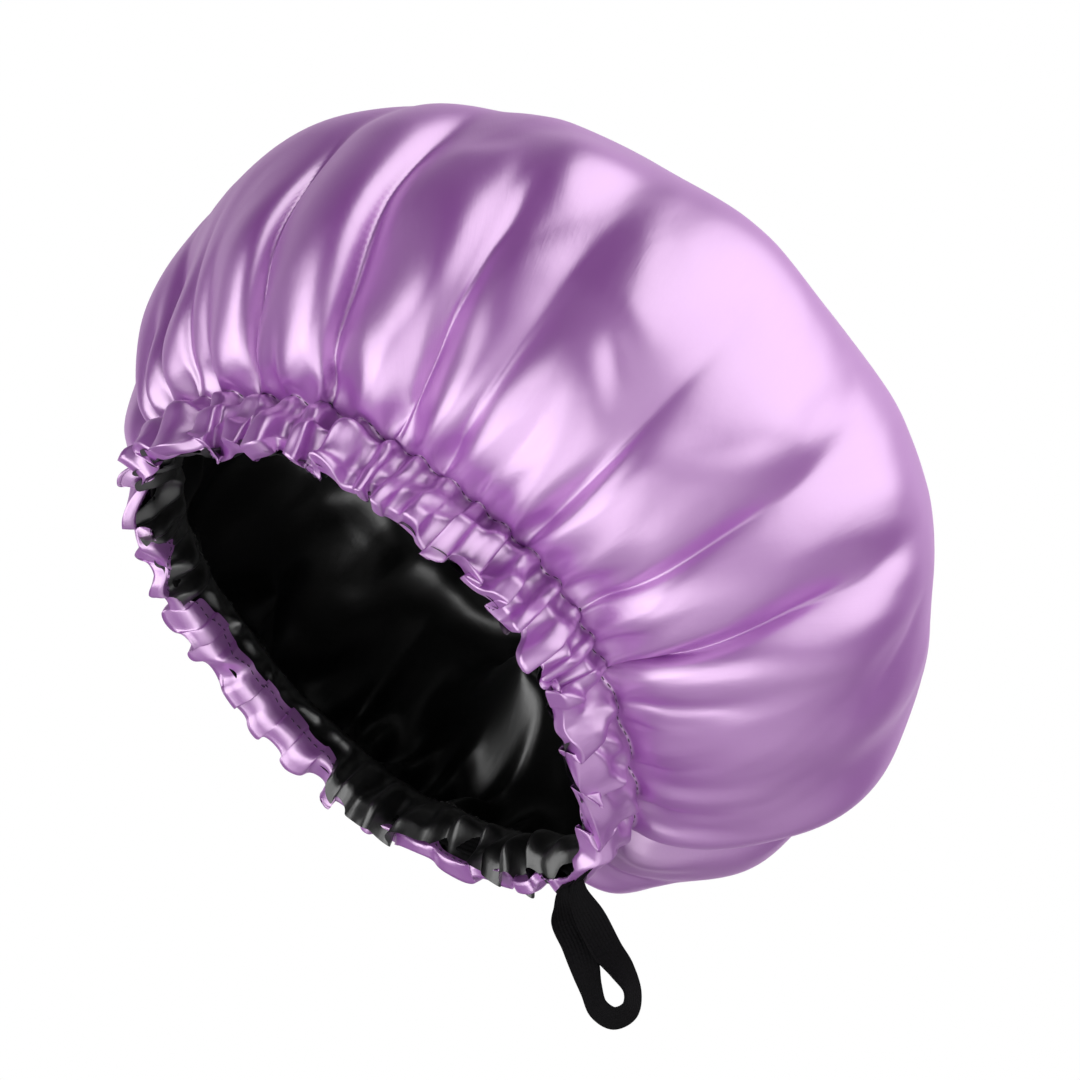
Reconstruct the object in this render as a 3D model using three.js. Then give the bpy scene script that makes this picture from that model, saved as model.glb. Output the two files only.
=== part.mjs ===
// A double-layer satin sleep cap with an elastic casing and a pull-out elastic loop at the nape.
// Millimetres and degrees. The wearer faces -Y, +X is the wearer's left, and +Z is up.
// The origin is the centre of the mouth, where the head holds the cap.
import * as THREE from 'three';

// Mouth and crown, measured along and across the cap's own axis
const mouthBreadth = 186;
const mouthDepth = 182;
const crownBreadth = 316;
const crownDepth = 276;
const widestHeight = 93;
const crownHeight = 180;
const wornTilt = 41;
const sideFullness = 2.2;
const topFullness = 1.7;

// Cloth: the thickness stands in for satin of about 0.2 mm
const clothThickness = 0.5;
const liningSlack = 5;
const seamGap = 0.5;
const clearance = 0.4;
const creaseClearance = 0.8;

// Gathers of the casing and the folds that they send up the crown
const gatherCount = 32;
const foldCount = gatherCount / 2;
const pointsPerWave = 3;
const rimWave = 2.2;
const rimFrill = 1.6;
const casingBelly = 2.4;
const stitchBelly = 0.6;
const stitchWave = 1.6;
const foldDepth = 6;

// Casing, from the rim up to the stitch row
const rimSeamHeight = 3;
const rimAllowance = 4.5;
const stitchAllowance = 5.5;

// Flat elastic and its sewn lap at the forehead
const elasticWidth = 10;
const elasticThickness = 1;
const lapLength = 22;
const lapRamp = 16;
const lapGap = 0.3;
const legSpacing = 0.6;
const cornerRun = 4;
const exitStub = 2;

// Sewing thread
const threadRadius = 0.25;
const threadSides = 3;
const zigzagCount = 6;
const tackWidth = 1.6;
const tackThickness = 0.6;

// Pull-out loop: it hangs from the nape, with its flat turned to the wearer's left
const loopFacing = 71;
const loopDrop = 1.1;
const cutGap = 0.4;
const stepsPerPoint = 3;

// Route of the loop as [across, toward, up, turn], with the exit as its zero. Across runs to the
// back, toward runs to the wearer's left, and turn swings the strap's width from across to toward.
const loopRoute = [
  [-1.8, -5.1, -0.2, 71],
  [-1.9, -4.8, -4.0, 58],
  [-0.9, -2.4, -11.0, 16],
  [2.2, -1.6, -18.0, 6],
  [4.6, -1.4, -25.0, 26],
  [6.6, -0.9, -32.5, 52],
  [8.7, -0.3, -38.8, 58],
  [13.6, 0.2, -42.0, 58],
  [18.6, 0.5, -39.4, 58],
  [19.3, 0.9, -33.2, 52],
  [15.8, 1.4, -26.4, 26],
  [11.4, 1.6, -20.4, 6],
  [7.2, 2.4, -12.6, -16],
  [2.8, 4.8, -4.4, -58],
  [1.8, 5.1, -0.2, -71],
];
const bightFirst = 4;
const bightLast = 10;

// Derived sizes
const elasticTop = rimAllowance + elasticWidth;
const stitchHeight = elasticTop + stitchAllowance;
const waveStep = (2 * Math.PI) / (gatherCount * pointsPerWave);
const exitReach = legSpacing / 2 + elasticWidth;
const exitAngle = exitReach / (mouthDepth / 2);
const cornerAngle = (exitReach + cornerRun) / (mouthDepth / 2);
const lapAngle = lapLength / (mouthDepth / 2);
const lapRampAngle = lapRamp / (mouthDepth / 2);
const threadRoom = 2 * (threadRadius + clearance);
const lapRoom = lapGap + elasticThickness + threadRoom;
const rad = THREE.MathUtils.degToRad;
const smooth = THREE.MathUtils.smoothstep;

// Colours
const lilacSatin = 0xc79ad8;
const blackSatin = 0x141415;
const blackElastic = 0x1b191c;
const plumThread = 0x3a1d45;
const blackThread = 0x101011;

// Angle from the nape (0) to the forehead (pi), whichever side
function fromNape(theta) {
  return Math.abs(Math.atan2(Math.sin(theta), Math.cos(theta)));
}

// 1 at the loop's exit, falling to 0 within two waves
function exitShare(theta) {
  return 1 - smooth(fromNape(theta), exitAngle + waveStep, exitAngle + 4 * waveStep);
}

// 1 where the elastic's ends lap at the forehead, falling to 0 beside it
function lapShare(theta) {
  const half = lapAngle / 2 + waveStep;
  return 1 - smooth(Math.PI - fromNape(theta), half, half + lapRampAngle);
}

// Two high points and one low point to a wave, with uneven heights round the rim
function wave(index, theta) {
  const shape = index % pointsPerWave === pointsPerWave - 1 ? -1 : 0.5;
  return shape * (0.78 + 0.22 * Math.sin(5 * theta + 1));
}

// Point of a ring pushed along the profile's normal
function ringPoint(ring, theta, push, lift = 0) {
  const out = push * ring.normal.x;
  return new THREE.Vector3(
    (ring.breadth / 2 + out) * Math.sin(theta),
    (ring.depth / 2 + out) * Math.cos(theta),
    ring.height + push * ring.normal.y + lift,
  );
}

// Profile of the cap as rings: casing first, then the side, then the top
function capRings() {
  const waves = gatherCount * pointsPerWave;
  const folds = foldCount * pointsPerWave;
  const casing = [0, rimSeamHeight, elasticTop, stitchHeight].map((height) => ({
    count: waves, height, breadth: mouthBreadth, depth: mouthDepth,
  }));
  const crown = [
    { latitude: -58, count: folds, fold: 1, slack: 0.5 },
    { latitude: -28, count: folds, fold: 0.8, slack: 0.9 },
    { latitude: 4, count: folds, fold: 0.5, slack: 1 },
    { latitude: 32, count: folds, fold: 0.3, slack: 1 },
    { latitude: 58, count: folds / 2, fold: 0, slack: 1 },
    { latitude: 77, count: folds / 4, fold: 0, slack: 1 },
    { latitude: 90, count: 1, fold: 0, slack: 1 },
  ];
  for (const ring of crown) {
    const angle = rad(Math.abs(ring.latitude));
    const below = ring.latitude < 0;
    const power = 2 / (below ? sideFullness : topFullness);
    const outward = Math.max(Math.cos(angle), 0) ** power;
    const along = Math.sin(angle) ** power;
    const startBreadth = below ? mouthBreadth : 0;
    const startDepth = below ? mouthDepth : 0;
    ring.breadth = startBreadth + (crownBreadth - startBreadth) * outward;
    ring.depth = startDepth + (crownDepth - startDepth) * outward;
    const endHeight = below ? stitchHeight : crownHeight;
    ring.height = widestHeight + (endHeight - widestHeight) * along;
  }
  const rings = [...casing, ...crown];
  rings.forEach((ring, i) => {
    const a = rings[Math.max(i - 1, 0)];
    const b = rings[Math.min(i + 1, rings.length - 1)];
    const before = new THREE.Vector2(ring.height - a.height, (a.breadth - ring.breadth) / 2);
    const after = new THREE.Vector2(b.height - ring.height, (ring.breadth - b.breadth) / 2);
    ring.normal = before.normalize().add(after.normalize()).normalize();
  });
  rings[rings.length - 1].normal.set(0, 1);
  return rings;
}

// The outer layer's inner face and the lining's outer face, as pushes from the elastic's inner face
function layerFaces(rings) {
  const middle = elasticThickness / 2;
  const exitGap = elasticThickness + 2 * clearance - seamGap;
  const [rim, low, high, row] = rings;
  const belly = (size, i, theta) => size * (0.5 + wave(i, theta) / 2);
  const rimMiddle = (i, theta) => middle + rimWave * wave(i, theta) * (1 - exitShare(theta));
  const rimHalf = (theta) => (seamGap + exitGap * exitShare(theta)) / 2;
  const rowMiddle = (i, theta) => middle + stitchWave * wave(i, theta);
  rim.outer = (i, theta) => rimMiddle(i, theta) + rimHalf(theta);
  rim.inner = (i, theta) => rimMiddle(i, theta) - rimHalf(theta);
  rim.lift = (i, theta) => rimFrill * wave(i + 1, theta) * (1 - exitShare(theta));
  for (const [ring, size] of [[low, casingBelly], [high, stitchBelly]]) {
    ring.outer = (i, theta) => (
      elasticThickness + clearance + belly(size, i, theta) + lapRoom * lapShare(theta)
    );
    ring.inner = (i, theta) => -clearance - belly(size, i, theta);
  }
  row.outer = (i, theta) => rowMiddle(i, theta) + seamGap / 2;
  row.inner = (i, theta) => rowMiddle(i, theta) - seamGap / 2;
  for (const ring of rings.slice(4)) {
    ring.outer = (i, theta) => foldDepth * ring.fold * wave(i, theta) - clothThickness;
    ring.inner = (i, theta) => ring.outer(i, theta) - liningSlack * ring.slack;
  }
}

// Points of one face of a layer, ring by ring
function facePoints(rings, push) {
  return rings.map((ring) => Array.from({ length: ring.count }, (_, i) => {
    const theta = (2 * Math.PI * i) / ring.count;
    const lift = ring.lift ? ring.lift(i, theta) : 0;
    return ringPoint(ring, theta, push(ring, i, theta), lift);
  }));
}

// Triangles between two rings, stepping along whichever ring is behind
function bridge(lower, upper, add) {
  let i = 0;
  let j = 0;
  while (i < lower.length || j < upper.length) {
    const stepLower = upper.length === 1 || (i + 1) * upper.length <= (j + 1) * lower.length;
    if (i < lower.length && (stepLower || j >= upper.length)) {
      add(lower[i], upper[j % upper.length], lower[(i + 1) % lower.length]);
      i += 1;
    } else if (upper.length > 1) {
      add(lower[i % lower.length], upper[j], upper[(j + 1) % upper.length]);
      j += 1;
    } else {
      j += 1;
    }
  }
}

// Indexed geometry with its faces turned outwards
function closedGeometry(points, faces) {
  let volume = 0;
  for (const [a, b, c] of faces) {
    volume += points[a].dot(points[b].clone().cross(points[c])) / 6;
  }
  const turned = volume < 0 ? faces.map(([a, b, c]) => [a, c, b]) : faces;
  const geometry = new THREE.BufferGeometry();
  geometry.setAttribute('position', new THREE.Float32BufferAttribute(points.flatMap((p) => p.toArray()), 3));
  geometry.setIndex(turned.flat());
  geometry.computeVertexNormals();
  return geometry;
}

// A cloth layer: an outer face, an inner face and the rim edge between them
function clothGeometry(outerFace, innerFace) {
  const points = [];
  const faces = [];
  const number = (face) => face.map((ring) => ring.map((point) => points.push(point) - 1));
  const outer = number(outerFace);
  const inner = number(innerFace);
  for (let k = 0; k + 1 < outer.length; k += 1) {
    bridge(outer[k], outer[k + 1], (a, b, c) => faces.push([a, b, c]));
    bridge(inner[k], inner[k + 1], (a, b, c) => faces.push([a, c, b]));
  }
  bridge(outer[0], inner[0], (a, b, c) => faces.push([a, c, b]));
  return closedGeometry(points, faces);
}

// A solid carried through a list of sections, closed on itself or capped at both ends
function sweepGeometry(sections, closed = false) {
  const sides = sections[0].length;
  const faces = [];
  const last = closed ? sections.length : sections.length - 1;
  for (let i = 0; i < last; i += 1) {
    const a = i * sides;
    const b = ((i + 1) % sections.length) * sides;
    for (let k = 0; k < sides; k += 1) {
      const next = (k + 1) % sides;
      faces.push([a + k, b + k, a + next], [a + next, b + k, b + next]);
    }
  }
  if (!closed) {
    const end = (sections.length - 1) * sides;
    for (let k = 1; k + 1 < sides; k += 1) {
      faces.push([0, k, k + 1], [end, end + k + 1, end + k]);
    }
  }
  return closedGeometry(sections.flat(), faces);
}

// Thread as a slim tube through its points, with the seam's outward direction as its frame
function threadGeometry(points, outwards, closed) {
  const count = points.length;
  const sections = points.map((point, i) => {
    const before = points[closed ? (i + count - 1) % count : Math.max(i - 1, 0)];
    const after = points[closed ? (i + 1) % count : Math.min(i + 1, count - 1)];
    const along = after.clone().sub(before).normalize();
    const side = along.clone().cross(outwards[i]).normalize();
    const out = side.clone().cross(along);
    return Array.from({ length: threadSides }, (_, k) => {
      const angle = (2 * Math.PI * k) / threadSides;
      return point.clone()
        .addScaledVector(out, threadRadius * Math.cos(angle))
        .addScaledVector(side, threadRadius * Math.sin(angle));
    });
  });
  return sweepGeometry(sections, closed);
}

const radial = (theta) => new THREE.Vector3(Math.sin(theta), Math.cos(theta), 0);

// Half of the casing elastic, from its stub at the exit to its end at the forehead.
// Its corner at the exit is the strap's diagonal fold; lapped is the half that lies on the other.
function elasticGeometry(side, lapped) {
  const ring = { breadth: mouthBreadth, depth: mouthDepth, normal: new THREE.Vector2(1, 0) };
  const inside = legSpacing / 2 / (mouthDepth / 2);
  const end = Math.PI + lapAngle / 2;
  const steps = Math.round((end - cornerAngle) / waveStep);
  const angles = [inside, exitAngle];
  for (let i = 0; i <= steps; i += 1) {
    angles.push(cornerAngle + ((end - cornerAngle) * i) / steps);
  }
  const lapStart = Math.PI - lapAngle / 2 - waveStep;
  return sweepGeometry(angles.map((angle) => {
    const theta = side * angle;
    const raised = lapped ? smooth(angle, lapStart - lapRampAngle, lapStart) : 0;
    const base = raised * (elasticThickness + lapGap);
    const bottom = angle <= exitAngle ? -exitStub : rimAllowance;
    const at = (push, height) => ringPoint({ ...ring, height }, theta, push);
    return [
      at(base, bottom), at(base + elasticThickness, bottom),
      at(base + elasticThickness, elasticTop), at(base, elasticTop),
    ];
  }));
}

// Zigzag that sews the elastic's lapped ends together, on the outer face of the lap
function lapThreadGeometry() {
  const push = 2 * elasticThickness + lapGap + clearance + threadRadius;
  const margin = clearance + threadRadius;
  const ring = { breadth: mouthBreadth, depth: mouthDepth, normal: new THREE.Vector2(1, 0) };
  const angles = Array.from({ length: zigzagCount + 1 }, (_, i) => (
    Math.PI + (lapAngle * (i / zigzagCount - 0.5)) / 2
  ));
  const points = angles.map((theta, i) => ringPoint(
    { ...ring, height: i % 2 ? elasticTop - margin : rimAllowance + margin }, theta, push,
  ));
  return threadGeometry(points, angles.map(radial), false);
}

// Row of thread round a ring, on a layer's face
function rowThreadGeometry(ring, push) {
  const angles = Array.from({ length: ring.count }, (_, i) => (2 * Math.PI * i) / ring.count);
  const points = angles.map((theta, i) => ringPoint(ring, theta, push(i, theta)));
  return threadGeometry(points, angles.map(radial), true);
}

// Thread of the rim seam, between the layers, open where the loop comes out
function rimThreadGeometry(low) {
  const first = Math.ceil(cornerAngle / waveStep);
  const angles = Array.from({ length: low.count - 2 * first + 1 }, (_, i) => (first + i) * waveStep);
  const points = angles.map((theta) => ringPoint(low, theta, elasticThickness / 2));
  return threadGeometry(points, angles.map(radial), false);
}

// Bar tack beside the exit: a short bar on the outer face, from the rim to the rim seam
function tackGeometry(rings, index) {
  const [rim, low] = rings;
  const theta = index * waveStep;
  const steps = [0.15, 0.85];
  const wrapped = (index + rim.count) % rim.count;
  const face = (ring) => ring.outer(wrapped, theta) + clothThickness + clearance;
  const foot = ringPoint(rim, theta, face(rim), rim.lift(wrapped, theta));
  const head = ringPoint(low, theta, face(low));
  const across = new THREE.Vector3(Math.cos(theta), -Math.sin(theta), 0).multiplyScalar(tackWidth / 2);
  const out = radial(theta).multiplyScalar(tackThickness);
  return sweepGeometry(steps.map((share) => {
    const at = foot.clone().lerp(head, share);
    return [
      at.clone().sub(across), at.clone().add(across),
      at.clone().add(across).add(out), at.clone().sub(across).add(out),
    ];
  }));
}

// Stretch of the loop's flat strap between two points of its route
function strapGeometry(first, last) {
  const curve = new THREE.CatmullRomCurve3(
    loopRoute.map(([across, toward, up]) => new THREE.Vector3(across, -toward, up)), false, 'catmullrom', 0.5,
  );
  const count = (last - first) * stepsPerPoint;
  const spans = loopRoute.length - 1;
  const trim = cutGap / 2 / (curve.getLength() / spans);
  const from = first === 0 ? first : first + trim;
  const to = last === spans ? last : last - trim;
  const toward = new THREE.Vector3(0, -1, 0);
  return sweepGeometry(Array.from({ length: count + 1 }, (_, i) => {
    const place = from + ((to - from) * i) / count;
    const knot = Math.min(Math.floor(place), spans - 1);
    const turn = rad(THREE.MathUtils.lerp(loopRoute[knot][3], loopRoute[knot + 1][3], place - knot));
    const at = curve.getPoint(place / spans);
    const along = curve.getTangent(place / spans);
    const flat = toward.clone().cross(along).normalize();
    const width = flat.multiplyScalar(Math.cos(turn)).addScaledVector(toward, Math.sin(turn));
    width.addScaledVector(along, -width.dot(along)).normalize();
    const half = width.clone().multiplyScalar(elasticWidth / 2);
    const skin = along.clone().cross(width).multiplyScalar(elasticThickness / 2);
    return [
      at.clone().sub(half).sub(skin), at.clone().add(half).sub(skin),
      at.clone().add(half).add(skin), at.clone().sub(half).add(skin),
    ];
  }));
}

function part(parent, name, geometry, color, roughness) {
  const mesh = new THREE.Mesh(geometry, new THREE.MeshStandardMaterial({ color, roughness, metalness: 0 }));
  mesh.name = name;
  parent.add(mesh);
}

const rings = capRings();
layerFaces(rings);
const stitchRow = rings[3];
const threadSeat = clothThickness + creaseClearance + threadRadius;

// The cap leans back as worn
const cap = new THREE.Group();
cap.rotation.x = -rad(wornTilt);
part(cap, 'outer_shell', clothGeometry(
  facePoints(rings, (ring, i, theta) => ring.outer(i, theta) + clothThickness),
  facePoints(rings, (ring, i, theta) => ring.outer(i, theta)),
), lilacSatin, 0.35);
part(cap, 'lining', clothGeometry(
  facePoints(rings, (ring, i, theta) => ring.inner(i, theta)),
  facePoints(rings, (ring, i, theta) => ring.inner(i, theta) - clothThickness),
), blackSatin, 0.35);
part(cap, 'casing_elastic_left', elasticGeometry(1, false), blackElastic, 0.8);
part(cap, 'casing_elastic_right', elasticGeometry(-1, true), blackElastic, 0.8);
part(cap, 'elastic_lap_thread', lapThreadGeometry(), blackThread, 0.7);
part(cap, 'casing_needle_thread', rowThreadGeometry(stitchRow, (i, theta) => (
  stitchRow.outer(i, theta) + threadSeat
)), plumThread, 0.6);
part(cap, 'casing_bobbin_thread', rowThreadGeometry(stitchRow, (i, theta) => (
  stitchRow.inner(i, theta) - threadSeat
)), blackThread, 0.6);
part(cap, 'rim_seam_thread', rimThreadGeometry(rings[1]), plumThread, 0.6);
const tackIndex = Math.ceil(exitAngle / waveStep) + 1;
part(cap, 'exit_tack_left', tackGeometry(rings, tackIndex), plumThread, 0.6);
part(cap, 'exit_tack_right', tackGeometry(rings, -tackIndex), plumThread, 0.6);

// The loop hangs plumb from the middle of the exit
const loop = new THREE.Group();
const exit = new THREE.Vector3(0, mouthDepth / 2 + elasticThickness / 2, -exitStub);
loop.position.copy(exit.applyEuler(cap.rotation));
loop.position.z -= loopDrop;
loop.rotation.z = rad(loopFacing);
part(loop, 'loop_leg_right', strapGeometry(0, bightFirst), blackElastic, 0.8);
part(loop, 'loop_bight', strapGeometry(bightFirst, bightLast), blackElastic, 0.8);
part(loop, 'loop_leg_left', strapGeometry(bightLast, loopRoute.length - 1), blackElastic, 0.8);

const sleepCap = new THREE.Group();
sleepCap.add(cap, loop);

export default sleepCap;
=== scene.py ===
"""Satin sleep cap: a gathered lilac crown with a black lining, an elastic casing and a loop at the nape.

Sizes in the functions are in millimetres, in the cap's own frame: bearing 0 is the nape, 90 degrees the
wearer's side that has the larger x, 180 the forehead, and z runs up the cap's axis from the mouth's edge.
The cap is then leaned back by its worn tilt into the frame that all pieces share, in metres.
"""

import bpy
import numpy as np
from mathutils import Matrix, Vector


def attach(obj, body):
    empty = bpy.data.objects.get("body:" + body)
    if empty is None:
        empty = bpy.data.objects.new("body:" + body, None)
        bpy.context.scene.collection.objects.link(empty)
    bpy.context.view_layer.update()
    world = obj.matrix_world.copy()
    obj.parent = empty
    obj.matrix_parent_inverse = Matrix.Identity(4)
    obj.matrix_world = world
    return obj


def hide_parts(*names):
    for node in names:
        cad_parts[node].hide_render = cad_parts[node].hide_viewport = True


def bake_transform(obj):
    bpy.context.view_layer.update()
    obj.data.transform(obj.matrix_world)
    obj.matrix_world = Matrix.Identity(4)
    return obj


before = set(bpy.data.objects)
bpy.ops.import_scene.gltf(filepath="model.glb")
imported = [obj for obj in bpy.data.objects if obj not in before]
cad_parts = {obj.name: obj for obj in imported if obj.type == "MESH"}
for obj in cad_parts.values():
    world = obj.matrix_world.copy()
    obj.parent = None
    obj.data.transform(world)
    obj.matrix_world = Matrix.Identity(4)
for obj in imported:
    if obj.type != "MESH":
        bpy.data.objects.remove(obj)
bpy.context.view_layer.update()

bl_info = {
    "name": "Satin sleep cap",
    "version": (1, 0, 0),
    "blender": (4, 5, 0),
    "location": "View3D > Sidebar > Sleep cap",
    "description": "Builds a lined satin sleep cap with an elastic casing and a loop",
    "category": "Add Mesh",
}

MM = 0.001
TURN = 2 * np.pi

# The photograph's camera: where it stands, its frame in pixels, the pixel of the shared frame's origin, and
# the pixels that a metre takes up there.
AZIMUTH, ELEVATION, CAMERA_AWAY = np.radians(70.2), np.radians(-15.13), 1.6
FRAME_PIXELS = 1080
ORIGIN_PIXEL = (370.3, 674.3)
PIXELS_PER_METRE = 3195

# The floor, in mm: low enough for views from below.
FLOOR_HEIGHT, FLOOR_REACH = -1800.0, 9000.0

# Superellipse powers of the crown below and above its widest ring, and the gathered mouth's radius in mm.
SIDE_FULLNESS = 2.2
TOP_FULLNESS = 1.7
MOUTH_RADIUS = 92

# Radius in mm of the mouth's cloth before it is gathered, and the bearing where the crown is loosest.
GATHERED_RADIUS = 150
LOOSEST = 2.55


def linear(code):
    """sRGB hex to linear RGBA: each channel undone by the sRGB curve."""
    part = np.array([int(code[i:i + 2], 16) for i in (0, 2, 4)]) / 255
    flat = np.where(part <= 0.04045, part / 12.92, ((part + 0.055) / 1.055) ** 2.4)
    return (*flat.tolist(), 1.0)


# Bearing of each gather's valley at the stitch row, in degrees round the mouth: wide flat pleats near the
# nape, tight curls at the side, and soft waves over the forehead.
GATHERS = np.array([
    5, 18, 31, 45, 58, 66, 71, 79, 84, 92, 98, 103, 111, 117, 122, 131, 140, 147, 157, 168, 175, 186, 192,
    200, 209, 214, 224, 232, 243, 252, 262, 272, 283, 290, 297, 308, 328, 336, 345, 353], float)

# How far the stitch row stands out from the mouth's ellipse: bearing in degrees, and mm.
ROW_LINE = np.array([
    (0, 1), (10, 0), (28, -4), (43, -5), (56, -4), (64, 0), (74, 4), (85, 7), (100, 6), (118, 7), (136, 8),
    (153, 3), (168, 5), (180, 8), (192, 8), (205, 5), (220, 5), (238, 5), (250, 2), (265, 5), (280, 3),
    (298, 6), (314, 1), (330, 2), (345, 1)], float)

# Long creases of the crown: bearing at the stitch row and at the far end in degrees, where it starts and
# how far it reaches from the stitch row in mm, its depth in mm, and its lean: +1 steep on the side of the
# larger bearing, -1 on the other, 0 even.
CREASES = np.array([
    (-166, -174, 0, 78, 9, 0.5), (-177, -176, 0, 98, 11, 0.6), (172, 172, 0, 92, 10, 0.5),
    (166, 166, 0, 84, 7, 0.3), (154, 158, 0, 135, 15, 0.9), (135, 146, 0, 165, 16, 0.9),
    (123, 126, 0, 62, 6, 0), (121, 128, 8, 128, 9, 0.5), (119, 124, 0, 122, 11, 0.9),
    (109, 112, 0, 128, 11, 0.3), (100, 102, 0, 62, 6, 0),
    (90, 92, 0, 112, 11, -0.6), (80, 77, 0, 45, 5, 0), (75, 70, 0, 108, 14, -0.5), (67, 66, 0, 30, 4, 0),
    (60, 53, 0, 110, 14, -0.7), (51, 47, 0, 60, 7, -0.3), (32, 38, 0, 36, 5, 0), (36, 48, 70, 124, 6, 0.2),
    (19, 24, 0, 40, 6, 0), (5, 4, 0, 84, 10, 0), (-13, -10, 0, 50, 6, 0), (-28, -33, 0, 105, 12, 0.6),
    (-42, -44, 0, 42, 5, 0), (-53, -50, 0, 92, 11, -0.5), (-67, -72, 0, 40, 5, 0), (-80, -84, 0, 118, 13, 0.8),
    (-94, -92, 0, 46, 5, 0), (-104, -108, 0, 96, 11, 0.5), (-118, -116, 0, 50, 6, 0),
    (-131, -138, 0, 130, 14, 0.7), (-146, -144, 0, 62, 7, 0), (-159, -160, 0, 104, 10, 0.4),
    (119, 113, 80, 130, 6, 0.3),
    (133, 130, 104, 156, 5, 0.3), (95, 105, 54, 82, 6, 0.4), (84, 77, 60, 94, 5, -0.4),
    (-60, -67, 70, 118, 5, 0)], float)

# Where the lilac hem is rolled up inside the mouth, and where the lining puffs out over it: bearings in
# degrees where it begins and ends, over how many degrees it eases, and how far it goes.
HEM_ROLLED = 0.12
HEM_ROLLS = ((234, 283, 8, 0.86), (213, 224, 6, 0.4))
LINING_PUFFS = ((284, 308, 8, 1.0), (328, 352, 8, 0.8), (203, 213, 6, 0.6))

# Loose cloth on the crown: typical depth in mm, and the seeds of the drawn waves.
SLACK_DEPTH = 1.25
SLACK_SEED, FOLD_SEED, CASING_SEED, HEM_SEED = 17, 7, 21, 44
LINING_SEED, LINING_CASING_SEED, LINING_HEM_SEED = 12, 33, 31

# The loop's centre line from its exit, in mm: along the exit, out from the nape, up, and the strip's turn in
# degrees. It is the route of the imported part.
LOOP_ROUTE = np.array([
    (-1.8, -5.1, -0.2, 71), (-1.9, -4.8, -4.0, 58), (-0.9, -2.4, -11.0, 16), (2.2, -1.6, -18.0, 6),
    (4.6, -1.4, -25.0, 26), (6.6, -0.9, -32.5, 52), (8.7, -0.3, -38.8, 58), (13.6, 0.2, -42.0, 58),
    (18.6, 0.5, -39.4, 58), (19.3, 0.9, -33.2, 52), (15.8, 1.4, -26.4, 26), (11.4, 1.6, -20.4, 6),
    (7.2, 2.4, -12.6, -16), (2.8, 4.8, -4.4, -58), (1.8, 5.1, -0.2, -71)], float)
LOOP_PLACE = np.array([0.0, 67.74, -62.64])
LOOP_FACING = np.radians(71)


def metres(label, note, default):
    """A length property in metres."""
    return bpy.props.FloatProperty(name=label, description=note, default=default, unit="LENGTH")


def dye(label, note, code):
    """A colour property from an sRGB hex code."""
    return bpy.props.FloatVectorProperty(
        name=label, description=note, subtype="COLOR", size=4, default=linear(code))


class CapSizes(bpy.types.PropertyGroup):
    """Sizes of the sewn cap."""
    mouth_breadth: metres("Mouth breadth", "Across the gathered mouth", 0.186)
    mouth_depth: metres("Mouth depth", "Front to back of the gathered mouth", 0.182)
    crown_breadth: metres("Crown breadth", "Across the crown at its widest", 0.316)
    crown_depth: metres("Crown depth", "Front to back of the crown at its widest", 0.276)
    widest_height: metres("Widest height", "From the mouth's edge to the widest ring", 0.093)
    crown_height: metres("Crown height", "From the mouth's edge to the top", 0.18)
    casing_height: metres("Casing height", "From the mouth's edge to the stitch row", 0.02)
    worn_tilt: bpy.props.FloatProperty(
        name="Worn tilt", description="How far the cap leans back", default=float(np.radians(41)),
        subtype="ANGLE")
    elastic_width: metres("Elastic width", "Width of the flat elastic", 0.01)


class CapFinish(bpy.types.PropertyGroup):
    """Colours of the cap's cloth, elastic and threads."""
    lilac: dye("Lilac satin", "Outer cloth", "9143A5")
    lilac_deep: dye("Deep lilac", "Outer cloth where its threads lie the other way", "873A99")
    black: dye("Black satin", "Lining", "0F0F10")
    elastic: dye("Black elastic", "Loop and casing strip", "0A090B")
    plum: dye("Plum thread", "Thread that shows on the lilac side", "3A1D45")


def add_node(tree, kind, settings=None, **sockets):
    """Adds a node: settings are its own properties, and sockets its inputs, by name with _ for a space or by
    number as in i0. A socket of another node is linked, and anything else is set as the value."""
    made = tree.nodes.new(kind)
    for name, value in (settings or {}).items():
        setattr(made, name, value)
    for name, value in sockets.items():
        key = int(name[1:]) if name[1:].isdigit() else name.replace("_", " ")
        if isinstance(value, bpy.types.NodeSocket):
            tree.links.new(value, made.inputs[key])
        else:
            made.inputs[key].default_value = value
    return made


def math_node(tree, operation, first, second):
    """The result of a maths operation on two sockets or values."""
    return add_node(tree, "ShaderNodeMath", {"operation": operation}, i0=first, i1=second).outputs[0]


def new_material(name):
    """An empty node material and its tree."""
    made = bpy.data.materials.new(name)
    made.use_nodes = True
    made.node_tree.nodes.clear()
    return made, made.node_tree


def close_material(tree, shader):
    """Joins a shader to the material's output."""
    add_node(tree, "ShaderNodeOutputMaterial", Surface=shader)


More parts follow.
